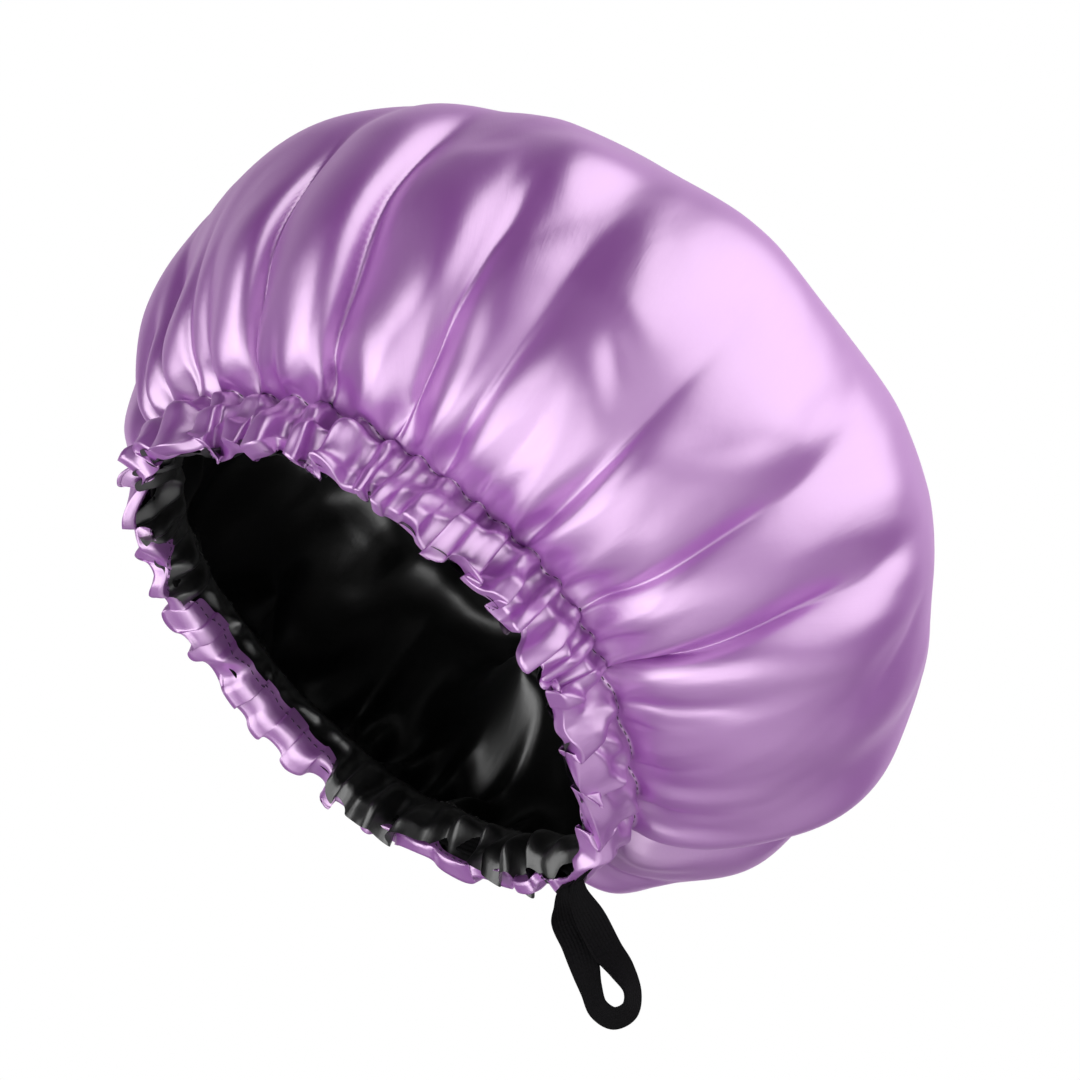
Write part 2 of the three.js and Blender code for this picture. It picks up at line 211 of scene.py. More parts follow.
def satin_weave(tree, soft_scale, roughness, pucker, rib_height):
    """Roughness and normal of charmeuse satin: fine ribs of floating threads over soft puckers."""
    cloth = add_node(tree, "ShaderNodeUVMap", {"uv_map": "cloth"}).outputs["UV"]
    # Real floats are about 0.12 mm apart: drawn at 0.7 mm so that they show.
    slubs = add_node(tree, "ShaderNodeMapping", Vector=cloth, Scale=(1 / 0.012, 1 / 0.0007, 1.0))
    rib = add_node(tree, "ShaderNodeTexNoise", Vector=slubs.outputs["Vector"], Scale=1.0, Detail=1.0)
    soft = add_node(tree, "ShaderNodeTexNoise", Vector=cloth, Scale=soft_scale, Detail=3.0, Roughness=0.55)
    rough = add_node(tree, "ShaderNodeMapRange", Value=rib.outputs["Fac"], To_Min=roughness[0],
                     To_Max=roughness[1])
    puckers = add_node(tree, "ShaderNodeBump", Strength=pucker, Distance=0.004, Height=soft.outputs["Fac"])
    weave = add_node(tree, "ShaderNodeBump", Strength=rib_height, Distance=0.0004, Height=rib.outputs["Fac"],
                     Normal=puckers.outputs["Normal"])
    return cloth, rough.outputs["Result"], weave.outputs["Normal"]


def lilac_satin():
    """Polyester charmeuse satin: long floating warp threads lie side by side, so light slides along them in a
    broad tinted sheen with pale edges and deep folds, and a fine rib shows where the light grazes."""
    finish = bpy.context.scene.cap_finish
    material, tree = new_material("lilac polyester satin")
    cloth, rough, weave = satin_weave(tree, 95.0, (0.34, 0.42), 0.03, 0.05)
    broad = add_node(tree, "ShaderNodeTexNoise", Vector=cloth, Scale=14.0, Detail=2.0, Roughness=0.5)
    tone = add_node(tree, "ShaderNodeMix", {"data_type": "RGBA"}, Factor=broad.outputs["Fac"],
                    i6=tuple(finish.lilac), i7=tuple(finish.lilac_deep))
    warp = add_node(tree, "ShaderNodeTangent", {"direction_type": "UV_MAP", "uv_map": "cloth"})
    # Polyester's own IOR is about 1.6: raised until the sheen was as strong as the photographed one.
    shader = add_node(
        tree, "ShaderNodeBsdfPrincipled", Base_Color=tone.outputs["Result"], Metallic=0.0, Roughness=rough,
        IOR=2.8, Specular_IOR_Level=1.0, Specular_Tint=linear("FBE2FB"), Anisotropic=0.4,
        Tangent=warp.outputs["Tangent"], Normal=weave, Sheen_Weight=0.12, Sheen_Roughness=0.35,
        Sheen_Tint=linear("F6DCFB"))
    close_material(tree, shader.outputs["BSDF"])
    return material


def black_satin():
    """The same charmeuse dyed black: little colour of its own, so only its soft sheen draws the folds."""
    finish = bpy.context.scene.cap_finish
    material, tree = new_material("black polyester satin")
    _, rough, weave = satin_weave(tree, 80.0, (0.3, 0.4), 0.05, 0.06)
    # Its IOR is raised like the lilac's, but less.
    shader = add_node(
        tree, "ShaderNodeBsdfPrincipled", Base_Color=tuple(finish.black), Roughness=rough, IOR=1.85,
        Normal=weave, Sheen_Weight=0.05, Sheen_Roughness=0.4, Sheen_Tint=linear("B9B9C0"))
    close_material(tree, shader.outputs["BSDF"])
    return material


def black_elastic():
    """Knitted polyester elastic: matt black yarn over rubber cores, in close ribs along its length."""
    finish = bpy.context.scene.cap_finish
    material, tree = new_material("knitted black elastic")
    strip = add_node(tree, "ShaderNodeUVMap", {"uv_map": "cloth"}).outputs["UV"]
    # Knit loops are about 0.6 mm long and lie in ribs about 1.1 mm wide.
    loops = add_node(tree, "ShaderNodeMapping", Vector=strip, Scale=(1 / 0.0006, 1 / 0.0011, 1.0))
    knit = add_node(tree, "ShaderNodeTexVoronoi", {"feature": "F1"}, Vector=loops.outputs["Vector"],
                    Scale=1.0)
    # Painted highlight and painted shade: the black yarn is coloured lighter in the middle of each knit loop
    # and darker in the grooves between loops.
    tone = add_node(tree, "ShaderNodeMapRange", Value=knit.outputs["Distance"], To_Min=1.25, To_Max=0.7)
    shade = add_node(tree, "ShaderNodeVectorMath", {"operation": "SCALE"},
                     Vector=tuple(finish.elastic)[:3], Scale=tone.outputs["Result"])
    bump = add_node(tree, "ShaderNodeBump", {"invert": True}, Strength=0.35, Distance=0.0003,
                    Height=knit.outputs["Distance"])
    shader = add_node(
        tree, "ShaderNodeBsdfPrincipled", Base_Color=shade.outputs["Vector"], Roughness=0.85, IOR=1.45,
        Specular_IOR_Level=0.12, Normal=bump.outputs["Normal"])
    close_material(tree, shader.outputs["BSDF"])
    return material


def spun_thread(name, colour):
    """Spun polyester sewing thread: a matt two-ply twist."""
    material, tree = new_material(name)
    place = add_node(tree, "ShaderNodeTexCoord").outputs["Object"]
    # Two-ply twist repeats about every 0.8 mm.
    ply = add_node(tree, "ShaderNodeTexWave", {"bands_direction": "DIAGONAL"}, Vector=place,
                   Scale=1 / (0.0008 * TURN), Distortion=1.5)
    # Painted highlight and painted shade: the twist has no relief of its own, so the thread's colour is drawn
    # lighter and darker in diagonal bands along the plies.
    tone = add_node(tree, "ShaderNodeMapRange", Value=ply.outputs["Fac"], To_Min=0.75, To_Max=1.2)
    shade = add_node(tree, "ShaderNodeVectorMath", {"operation": "SCALE"}, Vector=tuple(colour)[:3],
                     Scale=tone.outputs["Result"])
    shader = add_node(tree, "ShaderNodeBsdfPrincipled", Base_Color=shade.outputs["Vector"], Roughness=0.6,
                      IOR=1.5, Sheen_Weight=0.15, Sheen_Roughness=0.5)
    close_material(tree, shader.outputs["BSDF"])
    return material


def shared_material(name, maker, *values):
    """A material by name, made once."""
    return bpy.data.materials.get(name) or maker(*values)


def ease(value, low, high):
    """0 below low, 1 above high, with a smooth step between."""
    part = np.clip((value - low) / (high - low), 0, 1)
    return part * part * (3 - 2 * part)


def unit(vectors):
    """Vectors of length 1."""
    return vectors / np.maximum(np.linalg.norm(vectors, axis=-1, keepdims=True), 1e-12)


def lean(points, way=1):
    """Cap frame to the shared frame: turned about x by the worn tilt. With way -1 it is undone."""
    tilt = way * bpy.context.scene.cap_sizes.worn_tilt
    across, along, up = points[..., 0], points[..., 1], points[..., 2]
    return np.stack([across, along * np.cos(tilt) + up * np.sin(tilt),
                     up * np.cos(tilt) - along * np.sin(tilt)], -1)


def bearing_from(bearing, line):
    """How far a bearing is past a line's bearing, from half a turn back to half a turn on."""
    return (bearing - line + np.pi) % TURN - np.pi


def at_nape(bearing):
    """1 at the loop's exit, falling almost to 0 within 12 degrees: exp(-(bearing / 0.15)^4)."""
    return np.exp(-(bearing / 0.15) ** 4)


def make_mesh(name, points, faces, material, cloth=None):
    """A mesh object at the origin from points in mm in the shared frame, with the flat cloth's own
    coordinates in metres as its UV map."""
    mesh = bpy.data.meshes.new(name)
    mesh.from_pydata((np.asarray(points) * MM).tolist(), [], [list(face) for face in faces])
    if cloth is not None:
        corners = np.empty(len(mesh.loops), np.int32)
        mesh.loops.foreach_get("vertex_index", corners)
        layer = mesh.uv_layers.new(name="cloth")
        layer.data.foreach_set("uv", (np.asarray(cloth)[corners] * MM).astype(np.float32).ravel())
    mesh.shade_smooth()
    mesh.materials.append(material)
    mesh.validate()
    piece = bpy.data.objects.new(name, mesh)
    bpy.context.collection.objects.link(piece)
    return piece


def read_points(piece, value="co"):
    """A mesh's points, or another value of each, as an array, modifiers included."""
    shown = piece.evaluated_get(bpy.context.evaluated_depsgraph_get()).data
    points = np.empty(len(shown.vertices) * 3)
    shown.vertices.foreach_get(value, points)
    return points.reshape(-1, 3)


def crown_profile():
    """Half breadth, half depth and height of the crown against the arc length from the stitch row: one
    superellipse below the widest ring and another above it."""
    sizes = bpy.context.scene.cap_sizes
    latitude = np.linspace(-np.pi / 2, np.pi / 2, 2401)
    low = latitude < 0
    power = np.where(low, 2 / SIDE_FULLNESS, 2 / TOP_FULLNESS)
    out = np.clip(np.cos(latitude), 0, 1) ** power
    rise = np.abs(np.sin(latitude)) ** power
    mouth = np.array([sizes.mouth_breadth, sizes.mouth_depth]) / 2 / MM
    wide = np.array([sizes.crown_breadth, sizes.crown_depth]) / 2 / MM
    stitch, widest, top = (x / MM for x in (sizes.casing_height, sizes.widest_height, sizes.crown_height))
    half = [np.where(low, mouth[i] + (wide[i] - mouth[i]) * out, wide[i] * out) for i in (0, 1)]
    height = np.where(low, widest + (stitch - widest) * rise, widest + (top - widest) * rise)
    mean = (half[0] + half[1]) / 2
    arc = np.concatenate([[0], np.cumsum(np.hypot(np.diff(mean), np.diff(height)))])
    return arc, half[0], half[1], height


def disc_grid(count):
    """A square grid of count by count points bent onto the unit disc, ring by ring (the concentric map), its
    faces, and its outer loop in the order of the bearing."""
    step = np.linspace(-1, 1, count)
    u, v = np.meshgrid(step, step, indexing="ij")
    wide = np.abs(u) > np.abs(v)
    reach = np.where(wide, u, v)
    safe = np.where(reach == 0, 1, reach)
    angle = np.where(wide, np.pi / 4 * v / safe, np.pi / 2 - np.pi / 4 * u / safe)
    x, y = (reach * np.cos(angle)).ravel(), (reach * np.sin(angle)).ravel()
    index = np.arange(count * count).reshape(count, count)
    faces = np.stack([index[:-1, :-1], index[1:, :-1], index[1:, 1:], index[:-1, 1:]], -1).reshape(-1, 4)
    edge = np.concatenate([index[0, :-1], index[:-1, -1], index[-1, :0:-1], index[:0:-1, 0]])
    edge = edge[np.argsort(np.arctan2(x[edge], y[edge]))]
    return np.arctan2(x, y), np.hypot(x, y), faces, edge


def band_faces(rings):
    """Quads between closed rings of point numbers, one ring a row."""
    after = np.roll(rings, -1, axis=1)
    return np.stack([rings[:-1], after[:-1], after[1:], rings[1:]], -1).reshape(-1, 4)


def gather_phase(bearing):
    """Phase of the gathers: it grows by a turn from one listed valley to the next, so that each valley is at
    an odd half turn, and is eased a little between them."""
    marks = np.concatenate([GATHERS - 360, GATHERS, GATHERS + 360])
    turns = TURN * (np.arange(len(marks)) - len(GATHERS)) + np.pi
    fine = np.linspace(-360, 720, 10801)
    phase = np.interp(fine, marks, turns)
    window = np.hanning(41) / np.hanning(41).sum()
    phase = np.convolve(np.pad(phase, 20, mode="edge"), window, mode="valid")
    spread = np.interp(fine, (marks[1:] + marks[:-1]) / 2, np.diff(marks))
    spread = np.convolve(np.pad(spread, 60, mode="edge"), np.ones(121) / 121, mode="valid")
    turned = np.degrees(bearing) % 360
    return np.interp(turned, fine, phase), np.radians(np.interp(turned, fine, spread)) * MOUTH_RADIUS


def drift(bearing, seed, waves=14):
    """A smooth irregular wave round the cap, about -1 to 1: seeded sines of 2 turns and up, one each."""
    draw = np.random.default_rng(seed)
    size, start = draw.uniform(0.4, 1, waves), draw.uniform(0, TURN, waves)
    total = (size * np.sin(bearing[:, None] * np.arange(2, 2 + waves) + start)).sum(-1)
    return total / np.sqrt((size ** 2).sum())


def crease_field(bearing, arc, radius):
    """Depth of the listed creases, and how far the cloth laps over them. Each is a valley along a slanting
    line whose width grows with the arc, its steep side as little as two fifths as wide as its soft one,
    fading in and out at its two ends. On the steep side the cloth is drawn towards the valley, most at 6 mm
    from it, so that it hangs over."""
    first, last, begin, reach, depth, tilt = (column[:, None] for column in CREASES.T)
    part = np.clip((arc - begin) / (reach - begin), 0, 1)
    line = np.radians(first + (last - first) * part)
    aside = bearing_from(bearing, line) * radius
    steep = np.sign(aside) == np.sign(tilt)
    width = (5 + 0.11 * np.maximum(arc, 0)) * (1 - 0.62 * np.abs(tilt) * steep)
    shape = np.exp(-np.sqrt((aside / width) ** 2 + 0.05) * 1.15)
    fade = ease(arc, begin - 6, begin + 14) * (1 - ease(arc, begin + 0.5 * (reach - begin), reach))
    near = np.abs(aside) / 6
    lap = -0.34 * depth * tilt * near * np.exp(1 - near) * steep * fade
    return (depth * shape * fade).sum(0), lap.sum(0)


def row_line(bearing):
    """How far the stitch row stands out at a bearing: the listed values, joined by straight runs and then
    averaged over 12 degrees."""
    fine = np.arange(-180, 540, 0.5)
    line = np.interp(fine, ROW_LINE[:, 0], ROW_LINE[:, 1], period=360)
    line = np.convolve(np.pad(line, 12, mode="wrap"), np.ones(25) / 25, mode="valid")
    return np.interp(np.degrees(bearing) % 360, fine, line)


def span(bearing, low, high, soft=4):
    """1 between two bearings in degrees from 0 to 360, 0 outside them, eased over soft degrees."""
    turned = np.degrees(bearing) % 360
    return ease(turned, low - soft / 2, low + soft / 2) * (1 - ease(turned, high - soft / 2, high + soft / 2))


def spans(bearing, listed, base=0):
    """The sum of a base and some spans, each with its own height."""
    return sum((height * span(bearing, low, high, soft) for low, high, soft, height in listed), base)


def lilac_roll(bearing):
    """How far the lilac hem is rolled up inside the mouth, from 0 to 1: most on the far side."""
    return spans(bearing, HEM_ROLLS, HEM_ROLLED)


def mouth_folds(bearing, drop):
    """Offsets of the gathered cloth along the mouth, outwards and downwards, in mm, from the stitch row
    (drop 0) to the hem (drop 1). Each gather is a wave whose ridge may be flat-topped (power over 1), with a
    sideways second harmonic that rolls it into a loop and a shear that lays it over its neighbour. Its size,
    loop, lean, slant and hem are drawn per gather, by the part of the mouth it is on: flat panels laid over
    each other near the nape, tight curls at the side, soft waves at the forehead, and broad loose loops
    elsewhere."""
    phase, spread = gather_phase(bearing)
    count = len(GATHERS)
    ridge = np.radians((GATHERS + np.concatenate([[GATHERS[-1] - 360], GATHERS[:-1]])) / 2)
    panel, tight, front = span(ridge, 3, 59, 1), span(ridge, 59, 131, 1), span(ridge, 131, 205, 1)
    other = 1 - panel - tight - front
    draw = np.random.default_rng(FOLD_SEED)

    def trait(values, jitter):
        """One value per gather from the four kinds, with a seeded jitter, eased from ridge to ridge."""
        kinds = panel * values[0] + tight * values[1] + front * values[2] + other * values[3]
        kinds = kinds + draw.uniform(-1, 1, count) * jitter
        wrapped = np.concatenate([kinds[-1:], kinds, kinds[:1]])
        return np.interp(phase / TURN, np.arange(-1, count + 1), wrapped)

    swing = trait((0.17, 0.46, 0.36, 0.22), 0.08) * (1 - 0.45 * span(bearing, *HEM_ROLLS[0][:3]))
    loop = trait((0.02, 0.09, 0.06, 0.05), 0.03)
    fall = trait((-1.3, 0.0, 0.3, 0.0), 0.9)
    slant = trait((0.0, 0.0, 0.5, 0.0), 1.6)
    power = trait((1.7, 1.0, 1.3, 1.0), 0.25)
    hem = trait((0.6, 2.2, 2.8, 0.3), 2.4)
    turned = phase + slant * drop
    wave = 1 - 2 * ((1 - np.cos(turned)) / 2) ** power
    size = np.minimum(swing * spread, 6.4) * (0.4 + 0.75 * drop)
    outward = size * wave
    along = spread * loop * np.sin(2 * turned) * (0.3 + 0.9 * drop) + fall * outward * (0.25 + 0.75 * drop)
    return along, outward, hem * wave * drop ** 2


def relax_cloth(name, start, rest, faces, pins, push, weight, frames, bend):
    """Lets cloth settle from its start shape with the edge lengths of its rest shape, pinned at some points,
    pushed outwards by a light pressure and pulled by its weight. It works ten times as large, where the
    solver is steadiest, and gives the points back in mm."""
    scale = 0.01
    mesh = bpy.data.meshes.new(name)
    mesh.from_pydata((start * scale).tolist(), [], faces.tolist())
    piece = bpy.data.objects.new(name, mesh)
    bpy.context.collection.objects.link(piece)
    piece.shape_key_add(name="gathered")
    flat = piece.shape_key_add(name="cut")
    flat.data.foreach_set("co", (rest * scale).ravel())
    flat.value = 0
    held = piece.vertex_groups.new(name="held")
    for value in np.unique(pins[pins > 0]):
        held.add(np.flatnonzero(pins == value).tolist(), float(value), "REPLACE")
    modifier = piece.modifiers.new("settle", "CLOTH")
    cloth = modifier.settings
    cloth.quality = 6
    cloth.mass = 0.02
    cloth.air_damping = 2.0
    cloth.tension_stiffness = 20
    cloth.compression_stiffness = 20
    cloth.shear_stiffness = 3
    cloth.bending_stiffness = bend
    cloth.vertex_group_mass = "held"
    cloth.use_pressure = True
    cloth.uniform_pressure_force = push
    cloth.rest_shape_key = flat
    cloth.effector_weights.gravity = weight
    modifier.collision_settings.use_collision = False
    modifier.point_cache.frame_end = frames
    scene = bpy.context.scene
    for number in range(1, frames + 1):
        scene.frame_set(number)
    points = read_points(piece) / scale
    bpy.data.objects.remove(piece)
    bpy.data.meshes.remove(mesh)
    scene.frame_set(1)
    return points


class ClothLayer:
    """One layer of the cap: a disc of cloth whose crown is a bent grid, carried on below the stitch row by
    rings of casing. It knows each point's bearing, its arc length above the stitch row (negative in the
    casing), and the smooth form that the folds stand on."""

    def __init__(self, count, casing):
        self.bearing, reach, faces, loop = disc_grid(count)
        arc, breadth, depth, height = crown_profile()
        self.length = arc[-1]
        rows = len(casing)
        first = count * count
        self.rings = np.concatenate([[loop], first + np.arange(rows * len(loop)).reshape(rows, len(loop))])
        self.faces = np.concatenate([faces, band_faces(self.rings)])
        self.arc = np.concatenate([self.length * (1 - reach), np.repeat(casing, len(loop))])
        self.bearing = np.concatenate([self.bearing, np.tile(self.bearing[loop], rows)])
        on = np.clip(self.arc, 0, self.length)
        self.half = np.stack([np.interp(on, arc, breadth), np.interp(on, arc, depth)], -1)
        self.radius = self.half.mean(-1)
        self.height = np.interp(on, arc, height) + np.minimum(self.arc, 0)
        out = np.interp(on + 0.5, arc, self.profile_mean(breadth, depth))
        out = out - np.interp(on - 0.5, arc, self.profile_mean(breadth, depth))
        rise = np.interp(on + 0.5, arc, height) - np.interp(on - 0.5, arc, height)
        leave = ease(self.arc, 0, 14)
        out, rise = out * leave, 1 + (rise - 1) * leave
        self.round = np.stack([np.sin(self.bearing), np.cos(self.bearing)], -1)
        self.along = np.stack([np.cos(self.bearing), -np.sin(self.bearing), 0 * self.bearing], -1)
        self.normal = unit(np.concatenate([self.round * rise[:, None], -out[:, None]], -1))
        stand = row_line(self.bearing) * (1 - ease(self.arc, 0, 50))
        self.form = np.concatenate([(self.half + stand[:, None]) * self.round, self.height[:, None]], -1)
        self.table = (arc, breadth, depth)

    @staticmethod
    def profile_mean(breadth, depth):
        """Mean half width."""
        return (breadth + depth) / 2

    def flat_cloth(self):
        """Coordinates on the flat disc: the arc length from the top, along the bearing."""
        return self.round * (self.length - self.arc)[:, None]

    def cut_shape(self, fullness, slack, folds):
        """The cloth before it is gathered: a bell with the same arc lengths, slack times as wide as the form
        at its widest and fullness times the mouth at its rim, with the long creases' own length in it."""
        arc, breadth, depth = self.table
        line = np.linspace(self.arc.min(), self.length, 1600)
        on = np.clip(line, 0, self.length)
        mean = np.interp(on, arc, self.profile_mean(breadth, depth))
        full = np.maximum.accumulate((mean * slack)[::-1])[::-1]
        full = full + (fullness * mean[0] - full[0]) * (1 - ease(line, self.arc.min(), 75))
        slope = np.clip(1 - np.gradient(full, line) ** 2, 0, 1)
        rise = np.concatenate([[0], np.cumsum(np.sqrt(slope)[:-1] * np.diff(line))])
        wide = np.interp(self.arc, line, full / mean)
        loose = np.exp(-bearing_from(self.bearing, LOOSEST) ** 2 / 0.6)
        wide = wide * (1 + 0.03 * loose * ease(self.arc, 20, 60) * (1 - ease(self.arc, 120, 190)))
        tall = np.interp(self.arc, line, rise) - rise[-1] + self.height.max()
        bell = np.concatenate([self.half * self.round * wide[:, None], tall[:, None]], -1)
        return bell - self.normal * folds[:, None]

    def keep_form(self, points):
        """Takes the broad change of form out of settled cloth and leaves its folds: the distance from the
        form is fitted by a few waves round the cap times a few powers of the arc, and that fit is removed."""
        crown = self.arc > 0
        part = self.arc[crown] / self.length
        hold = (1 - np.exp(-self.arc[crown] / 18)) * self.radius[crown] / self.radius.max()
        bearing = self.bearing[crown]
        waves = [np.ones_like(bearing)]
        waves += [turn(k * bearing) for k in (1, 2, 3) for turn in (np.cos, np.sin)]
        terms = np.stack([hold * wave * part ** power for wave in waves for power in range(5)]
                         + [part ** 4, part ** 6], -1)
        away = ((points - self.form) * self.normal).sum(-1)[crown]
        fit = np.linalg.lstsq(terms, away, rcond=None)[0]
        moved = points.copy()
        moved[crown] -= (terms @ fit)[:, None] * self.normal[crown]
        return moved


class SLEEPCAP_OT_stage(bpy.types.Operator):
    """Camera at the photographed angle, a pale floor, soft lamps and a white surround"""
    bl_idname = "sleep_cap.stage"
    bl_label = "Stage"

    def execute(self, context):
        scene = context.scene
        focal = PIXELS_PER_METRE * CAMERA_AWAY
        right = np.array([np.cos(AZIMUTH), np.sin(AZIMUTH), 0])
        back = np.array([np.sin(AZIMUTH) * np.cos(ELEVATION), -np.cos(AZIMUTH) * np.cos(ELEVATION),
                         np.sin(ELEVATION)])
        up = np.cross(back, right)
        middle = FRAME_PIXELS / 2
        view = right * (middle - ORIGIN_PIXEL[0]) + up * (ORIGIN_PIXEL[1] - middle) - back * focal
        lens = bpy.data.cameras.new("camera")
        lens.lens = lens.sensor_width * focal / FRAME_PIXELS
        camera = bpy.data.objects.new("camera", lens)
        camera.location = back * CAMERA_AWAY
        camera.rotation_euler = Vector(view).to_track_quat("-Z", "Y").to_euler()
        context.collection.objects.link(camera)
        scene.camera = camera

        # Lamps that face the cap: direction along the camera's right, up and back, distance and breadth in
        # metres, and watts.
        lit = np.array([0, 0.06, 0.06])
        for name, side, distance, size, power in (
                ("key softbox", (0.72, 0.53, 0.34), 1.6, 4.0, 77),
                ("side softbox", (-0.88, -0.1, 0.42), 1.5, 1.6, 15),
                ("low softbox", (-0.3, -0.6, 0.7), 1.6, 1.8, 12)):
            lamp = bpy.data.lights.new(name, "AREA")
            lamp.shape = "DISK"
            lamp.size = size
            lamp.energy = power
            held = bpy.data.objects.new(name, lamp)
            toward = unit(right * side[0] + up * side[1] + back * side[2])
            held.location = lit + toward * distance
            held.rotation_euler = Vector(-toward).to_track_quat("-Z", "Y").to_euler()
            context.collection.objects.link(held)

        world = bpy.data.worlds.new("white surround")
        scene.world = world
        world.use_nodes = True
        tree = world.node_tree
        tree.nodes.clear()
        path = add_node(tree, "ShaderNodeLightPath").outputs
        mirrored = math_node(tree, "MAXIMUM", path["Is Glossy Ray"], path["Is Transmission Ray"])
        # The lit paper stands behind the cap, so mirrored rays meet it there and the dim room in front, and
        # other rays meet a room that is dimmer towards the camera.
        ray = add_node(tree, "ShaderNodeTexCoord").outputs["Generated"]
        behind = add_node(tree, "ShaderNodeVectorMath", {"operation": "DOT_PRODUCT"}, i0=ray,
                          i1=(-back).tolist()).outputs["Value"]
        paper = add_node(tree, "ShaderNodeMapRange", {"interpolation_type": "SMOOTHSTEP"}, Value=behind,
                         From_Min=0.5, From_Max=0.95)
        room = add_node(tree, "ShaderNodeMapRange", {"interpolation_type": "SMOOTHSTEP"}, Value=behind,
                        From_Min=-0.1, From_Max=0.6, To_Min=0.022, To_Max=0.18)
        mirrored = math_node(tree, "MULTIPLY", mirrored, paper.outputs["Result"])
        seen = math_node(tree, "MAXIMUM", path["Is Camera Ray"], mirrored)
        level = math_node(tree, "MAXIMUM", seen, room.outputs["Result"])
        light = add_node(tree, "ShaderNodeBackground", Color=(1, 1, 1, 1), Strength=level)
        add_node(tree, "ShaderNodeOutputWorld", Surface=light.outputs["Background"])

        corners = np.array([(-1, -1), (1, -1), (1, 1), (-1, 1)]) * FLOOR_REACH
        paper, tree = new_material("white paper floor")
        place = add_node(tree, "ShaderNodeTexCoord").outputs["Object"]
        grain = add_node(tree, "ShaderNodeTexNoise", Vector=place, Scale=40.0)
        tone = add_node(tree, "ShaderNodeMapRange", Value=grain.outputs["Fac"], To_Min=0.88, To_Max=0.92)
        tone = tone.outputs["Result"]
        white = add_node(tree, "ShaderNodeCombineColor", Red=tone, Green=tone, Blue=tone)
        # It glows a little, to the camera alone, so that it stays pale under dim lamps.
        path = add_node(tree, "ShaderNodeLightPath").outputs
        seen = math_node(tree, "MULTIPLY", path["Is Camera Ray"], 0.6)
        shader = add_node(tree, "ShaderNodeBsdfPrincipled", Base_Color=white.outputs["Color"], Roughness=0.9,
                          Emission_Color=(1, 1, 1, 1), Emission_Strength=seen)
        close_material(tree, shader.outputs["BSDF"])
        corners = np.column_stack([corners, np.full(4, FLOOR_HEIGHT)])
        floor = make_mesh("floor", corners, [(0, 1, 2, 3)], paper)
        scene.view_settings.view_transform = "Standard"
        return {"FINISHED"}


def spline(points, per_span):
    """A uniform Catmull-Rom curve of tension one half through the points, per_span steps between them."""
    before = np.vstack([2 * points[0] - points[1], points[:-1]])[:-1]
    here, after = points[:-1], points[1:]
    beyond = np.vstack([points[2:], 2 * points[-1] - points[-2]])
    t = (np.arange(per_span) / per_span)[None, :, None]
    p0, p1, p2, p3 = (x[:, None] for x in (before, here, after, beyond))
    curve = 0.5 * (2 * p1 + (p2 - p0) * t + (2 * p0 - 5 * p1 + 4 * p2 - p3) * t ** 2
                   + (3 * p1 - p0 - 3 * p2 + p3) * t ** 3)
    return np.vstack([curve.reshape(-1, points.shape[1]), points[-1:]])


def ribbon_section(width, thick, ribs, per_rib=4):
    """Outline of a ribbed strip: two faces with rounded ribs along the strip, and round edges."""
    across = np.linspace(-1, 1, ribs * per_rib + 1)
    bulge = 0.72 + 0.28 * np.abs(np.cos(np.pi * ribs * (across + 1) / 2 + np.pi / 2))
    edge = np.clip((1 - np.abs(across)) / 0.08, 0, 1) ** 0.5
    face = np.stack([across * width / 2, thick / 2 * bulge * (0.25 + 0.75 * edge)], -1)
    return np.vstack([face, (face * (1, -1))[::-1]])


def sweep_strip(path, along, wide, section):
    """Carries a section along a path: across the strip by the wide vector and out by its normal, and closes
    the ends with fans. Gives points, faces and the strip's own flat coordinates."""
    deep = unit(np.cross(along, wide))
    rings = path[:, None] + section[:, :1] * wide[:, None] + section[:, 1:] * deep[:, None]
    steps, sides = len(path), len(section)
    faces = band_faces(np.arange(steps * sides).reshape(steps, sides)).tolist()
    count = steps * sides
    points = np.vstack([rings.reshape(-1, 3), path[:1], path[-1:]])
    ring = np.arange(sides)
    after = np.roll(ring, -1)
    faces += [(count, b, a) for a, b in zip(ring.tolist(), after.tolist())]
    last = count - sides
    faces += [(count + 1, last + a, last + b) for a, b in zip(ring.tolist(), after.tolist())]
    run = np.concatenate([[0], np.cumsum(np.linalg.norm(np.diff(path, axis=0), axis=1))])
    flat = np.stack([np.repeat(run, sides), np.tile(section[:, 0], steps)], -1)
    return points, faces, np.vstack([flat, [(0, 0), (run[-1], 0)]])


LOOP_ACROSS = np.array([np.cos(LOOP_FACING), np.sin(LOOP_FACING), 0])
LOOP_TOWARD = np.array([np.sin(LOOP_FACING), -np.cos(LOOP_FACING), 0])


def loop_points(route):
    """Places on the loop's route, in mm in the shared frame."""
    return (LOOP_PLACE + route[..., :1] * LOOP_ACROSS + route[..., 1:2] * LOOP_TOWARD
            + route[..., 2:3] * (0, 0, 1))


class SLEEPCAP_OT_loop(bpy.types.Operator):
    """The flat elastic's loop, from its exit at the nape down to its eye and back"""
    bl_idname = "sleep_cap.loop"
    bl_label = "Loop strap"

    def execute(self, context):
        width = context.scene.cap_sizes.elastic_width / MM
        route = spline(LOOP_ROUTE, 10)
        path = loop_points(route)
        along = unit(np.gradient(path, axis=0))
        turn = np.radians(route[:, 3:4])
        wide = np.cos(turn) * unit(np.cross(LOOP_TOWARD, along)) + np.sin(turn) * LOOP_TOWARD
        wide = unit(wide - (wide * along).sum(-1, keepdims=True) * along)
        points, faces, flat = sweep_strip(path, along, wide, ribbon_section(width, 1.1, 9))
        material = shared_material("knitted black elastic", black_elastic)
        strap = make_mesh("loop_strap", points, faces, material, flat)
        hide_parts("loop_leg_right", "loop_bight", "loop_leg_left")
        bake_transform(strap)
        return {"FINISHED"}


